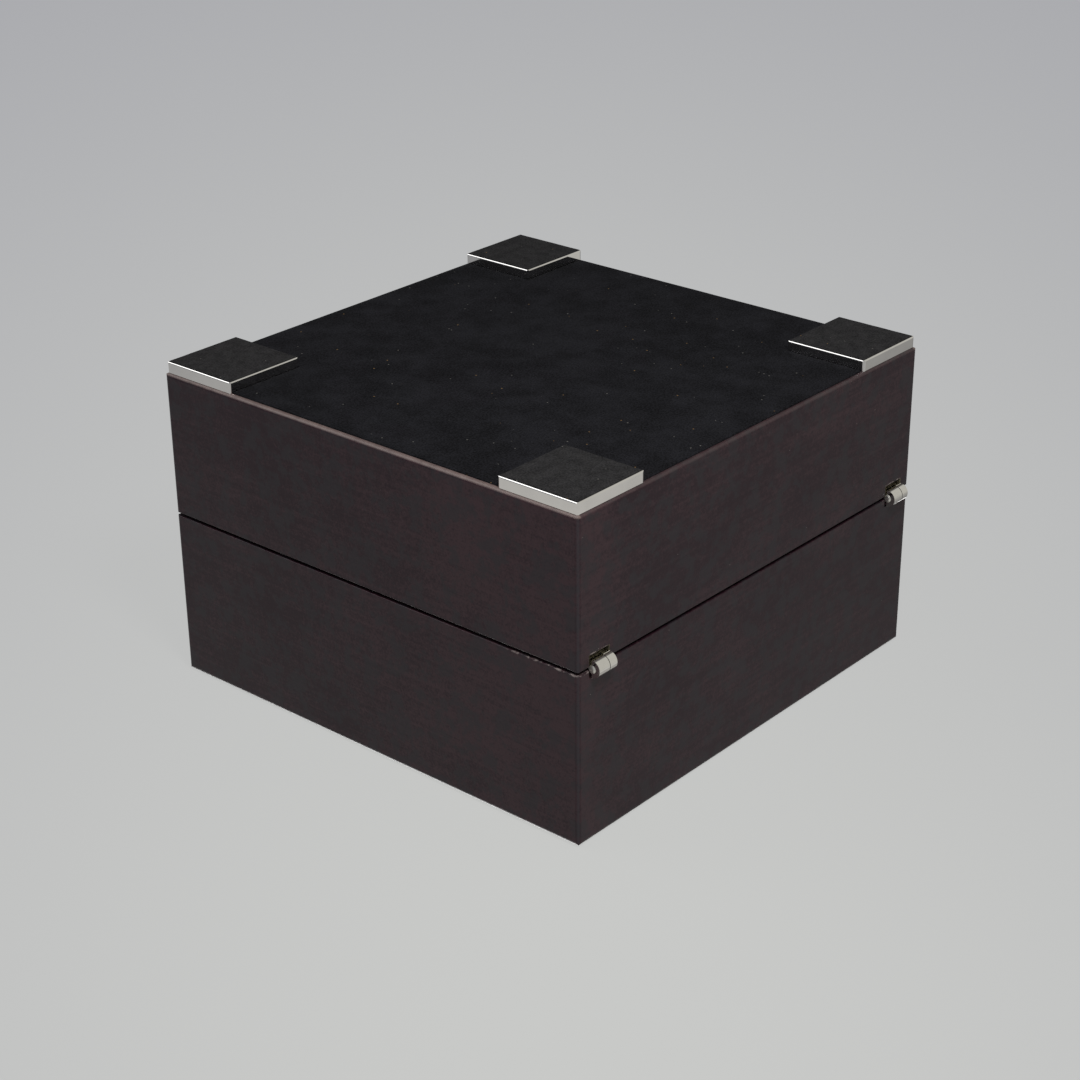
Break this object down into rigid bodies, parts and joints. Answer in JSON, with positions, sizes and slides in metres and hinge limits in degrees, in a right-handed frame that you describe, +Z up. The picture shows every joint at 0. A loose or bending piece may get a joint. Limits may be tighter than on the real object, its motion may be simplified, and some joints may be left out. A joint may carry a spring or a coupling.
{
  "type": "pocket watch display box",
  "caption": "Square lacquered box on four metal feet with a hinged lid and a sloped, padded seat that holds one pocket watch and its chain.",
  "frame": {"origin": "middle of the footprint, hinge barrels included, on the surface that the four foot pads stand on", "axes": "+Z up, +Y towards the hinges at the back, +X to the right of someone facing the front"},
  "size_m": [0.14, 0.1428, 0.0907],
  "materials": {
    "lacquered_wood": "very dark brown stained wood under a satin lacquer",
    "underside_suede": "near-black suede cloth with a short nap",
    "foot_pad_suede": "charcoal felt pad",
    "plated_foot": "satin nickel plate",
    "plated_hinge": "polished nickel plate",
    "screw_steel": "plated steel screw",
    "magnet_plating": "nickel plated magnet",
    "lining_suede": "charcoal suede cloth over board",
    "backing_board": "cloth covered board",
    "cushion_satin": "ivory satin over padding",
    "ribbon_satin": "ivory satin ribbon"
  },
  "bodies": {
    "base": {"base_front_wall": "lacquered_wood", "base_back_wall": "lacquered_wood", "base_left_wall": "lacquered_wood", "base_right_wall": "lacquered_wood", "base_bottom_panel": "lacquered_wood", "underside_cloth": "underside_suede", "foot_front_left": "plated_foot", "foot_front_right": "plated_foot", "foot_back_left": "plated_foot", "foot_back_right": "plated_foot", "foot_pad_front_left": "foot_pad_suede", "foot_pad_front_right": "foot_pad_suede", "foot_pad_back_left": "foot_pad_suede", "foot_pad_back_right": "foot_pad_suede", "foot_screws": "screw_steel", "base_liner_front": "lining_suede", "base_liner_back": "lining_suede", "base_liner_left": "lining_suede", "base_liner_right": "lining_suede", "base_floor_lining": "lining_suede", "insert_block": "lining_suede", "chain_well_lining": "lining_suede", "watch_plinth": "lining_suede", "watch_cushion": "cushion_satin", "watch_seat_ring": "lining_suede", "watch_seat_floor": "lining_suede", "lift_ribbon": "ribbon_satin", "hinge_left_base_leaf": "plated_hinge", "hinge_left_pin": "plated_hinge", "hinge_right_base_leaf": "plated_hinge", "hinge_right_pin": "plated_hinge", "hinge_base_screws": "screw_steel", "catch_magnets_base": "magnet_plating"},
    "lid": {"hinge_left_lid_leaf": "plated_hinge", "hinge_right_lid_leaf": "plated_hinge", "hinge_lid_screws": "screw_steel", "lid_front_wall": "lacquered_wood", "lid_back_wall": "lacquered_wood", "lid_left_wall": "lacquered_wood", "lid_right_wall": "lacquered_wood", "lid_top_panel": "lacquered_wood", "lid_liner_front": "lining_suede", "lid_liner_back": "lining_suede", "lid_liner_left": "lining_suede", "lid_liner_right": "lining_suede", "lid_cushion_board": "backing_board", "lid_cushion": "cushion_satin", "catch_magnets_lid": "magnet_plating"}
  },
  "joints": [
    {"name": "lid_hinge", "type": "hinge", "parent": "base", "child": "lid", "pos_m": [0, 0.0691, 0.0435], "axis": [-1, 0, 0], "range_deg": [0, 95]}
  ]
}
